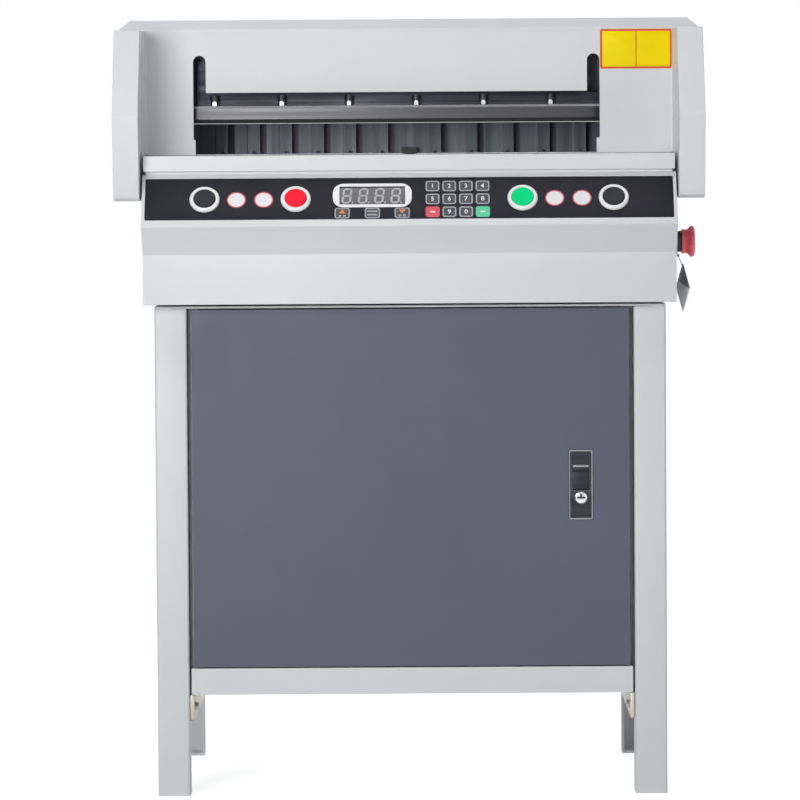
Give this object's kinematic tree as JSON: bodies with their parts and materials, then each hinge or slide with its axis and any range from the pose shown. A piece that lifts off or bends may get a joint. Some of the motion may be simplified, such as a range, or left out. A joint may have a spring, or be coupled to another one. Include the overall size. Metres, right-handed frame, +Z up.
{
  "type": "electric paper cutter",
  "caption": "Electric guillotine paper cutter on a stand with cabinet: tilted control panel, light-curtain arms, knife throat, back gauge and rear table.",
  "frame": {"origin": "on the floor, under the middle of the machine's box", "axes": "+X to the operator's right, +Y to the rear, +Z up; the operator stands at -Y"},
  "size_m": [0.732, 0.76, 0.971],
  "materials": {
    "body_paint": "fine satin powder coat, light grey",
    "table_paint": "smooth light finish on a thick plate",
    "stand_paint": "fine satin powder coat, grey",
    "door_paint": "slate grey powder coat",
    "panel_film": "dark printed film",
    "bezel_plastic": "moulded white rings",
    "black_plastic": "moulded black",
    "red_plastic": "translucent red cap",
    "green_plastic": "translucent green cap",
    "display": "dark grey window with pale digits",
    "circuit_board": "solder mask",
    "estop_red": "moulded red",
    "tag_card": "printed card, dark above and pale below",
    "stick_plastic": "pale cutting stick",
    "curtain_window": "dark red infrared window",
    "lock_metal": "dark coat with a bright rim",
    "chrome": "polished",
    "zinc_steel": "zinc plated",
    "bright_steel": "turned",
    "knife_steel": "ground",
    "dark_steel": "blackened, ground edges",
    "gauge_aluminium": "anodised profile",
    "frame_iron": "painted casting"
  },
  "bodies": {
    "base": {"leg_front_left": "stand_paint", "leg_front_right": "stand_paint", "leg_rear_left": "stand_paint", "leg_rear_right": "stand_paint", "stand_top_frame": "stand_paint", "side_rail_left": "zinc_steel", "side_rail_right": "zinc_steel", "cabinet_floor": "stand_paint", "cabinet_left_panel": "stand_paint", "cabinet_right_panel": "stand_paint", "cabinet_back_panel": "stand_paint", "door_hinge_pin_upper": "bright_steel", "door_hinge_pin_lower": "bright_steel", "base_shell": "body_paint", "power_inlet": "black_plastic", "console_shell": "body_paint", "control_panel": "panel_film", "start_bezel_left": "bezel_plastic", "stop_bezel": "bezel_plastic", "power_bezel": "bezel_plastic", "start_bezel_right": "bezel_plastic", "display_module": "display", "control_board": "circuit_board", "estop_collar": "black_plastic", "table_plate": "table_paint", "cutting_stick": "stick_plastic", "rear_table": "body_paint", "arm_cover_left": "body_paint", "arm_cover_right": "body_paint", "light_curtain_left": "curtain_window", "light_curtain_right": "curtain_window", "front_cover": "body_paint", "rear_cover": "body_paint", "top_cover": "body_paint", "side_frame_left": "frame_iron", "side_frame_right": "frame_iron", "crossbeam": "frame_iron", "drive_gearmotor": "frame_iron", "clamp_gearmotor": "frame_iron", "gauge_motor": "black_plastic"},
    "knife_unit": {"knife_carrier": "dark_steel", "knife": "knife_steel"},
    "crank": {"crank_disc": "bright_steel"},
    "rod": {"connecting_rod": "frame_iron"},
    "clamp": {"clamp_beam": "gauge_aluminium"},
    "clamp_spindle": {"clamp_screw": "bright_steel"},
    "gauge": {"back_gauge": "gauge_aluminium", "gauge_nut": "black_plastic"},
    "gauge_spindle": {"gauge_lead_screw": "bright_steel"},
    "start_cap_left": {"start_button_left": "black_plastic"},
    "stop_cap": {"stop_button": "red_plastic"},
    "power_cap": {"power_button": "green_plastic"},
    "start_cap_right": {"start_button_right": "black_plastic"},
    "estop_cap": {"estop_head": "estop_red"},
    "tag": {"hang_tag": "tag_card"},
    "door": {"cabinet_door": "door_paint", "lock_plate": "lock_metal"},
    "lever": {"lock_lever": "lock_metal"},
    "lock_turn": {"lock_cylinder": "chrome", "latch_cam": "zinc_steel"}
  },
  "joints": [
    {"name": "knife_slide", "type": "slide", "parent": "base", "child": "knife_unit", "axis": [0.5164, 0, -0.8564], "range_m": [0, 0.04647]},
    {"name": "crank_spin", "type": "hinge", "parent": "base", "child": "crank", "pos_m": [0.27, -0.146, 0.69709], "axis": [0, 1, 0], "range_deg": [-181, 0]},
    {"name": "rod_pivot", "type": "hinge", "parent": "crank", "child": "rod", "pos_m": [0.27, -0.1604, 0.716], "axis": [0, 1, 0], "range_deg": [0, 190]},
    {"name": "clamp_slide", "type": "slide", "parent": "base", "child": "clamp", "axis": [0, 0, -1], "range_m": [0, 0.0422]},
    {"name": "clamp_screw_spin", "type": "hinge", "parent": "base", "child": "clamp_spindle", "pos_m": [0, -0.132, 0.9], "axis": [0, 0, 1], "range_deg": [0, 3040]},
    {"name": "gauge_slide", "type": "slide", "parent": "base", "child": "gauge", "axis": [0, 1, 0], "range_m": [-0.166, 0.23]},
    {"name": "gauge_screw_spin", "type": "hinge", "parent": "base", "child": "gauge_spindle", "pos_m": [0, 0.09, 0.748], "axis": [0, 1, 0], "range_deg": [-8281, 5977]},
    {"name": "start_press_left", "type": "slide", "parent": "base", "child": "start_cap_left", "axis": [0, 0.8116, -0.5842], "range_m": [0, 0.004], "stiffness_N_per_m": 800, "springref_m": -0.002},
    {"name": "stop_press", "type": "slide", "parent": "base", "child": "stop_cap", "axis": [0, 0.8116, -0.5842], "range_m": [0, 0.004], "stiffness_N_per_m": 800, "springref_m": -0.002},
    {"name": "power_press", "type": "slide", "parent": "base", "child": "power_cap", "axis": [0, 0.8116, -0.5842], "range_m": [0, 0.004], "stiffness_N_per_m": 800, "springref_m": -0.002},
    {"name": "start_press_right", "type": "slide", "parent": "base", "child": "start_cap_right", "axis": [0, 0.8116, -0.5842], "range_m": [0, 0.004], "stiffness_N_per_m": 800, "springref_m": -0.002},
    {"name": "estop_press", "type": "slide", "parent": "base", "child": "estop_cap", "axis": [-1, 0, 0], "range_m": [0, 0.004]},
    {"name": "tag_swing", "type": "hinge", "parent": "base", "child": "tag", "pos_m": [0.3335, -0.285, 0.6898], "axis": [1, 0, 0], "range_deg": [-25, 25]},
    {"name": "door_hinge", "type": "hinge", "parent": "base", "child": "door", "pos_m": [-0.266, -0.294, 0.385], "axis": [0, 0, -1], "range_deg": [0, 100]},
    {"name": "lever_lift", "type": "hinge", "parent": "door", "child": "lever", "pos_m": [0.212, -0.3031, 0.3855], "axis": [1, 0, 0], "range_deg": [0, 35]},
    {"name": "lock_turn", "type": "hinge", "parent": "door", "child": "lock_turn", "pos_m": [0.212, -0.29, 0.3715], "axis": [0, 1, 0], "range_deg": [0, 90]}
  ],
  "couplings": [
    {"joint": "crank_spin", "follows": "knife_slide", "rad_per_m": -67.596},
    {"joint": "rod_pivot", "follows": "knife_slide", "rad_per_m": 71.149},
    {"joint": "clamp_screw_spin", "follows": "clamp_slide", "rad_per_m": 1256.6},
    {"joint": "gauge_screw_spin", "follows": "gauge_slide", "rad_per_m": -628.32}
  ]
}
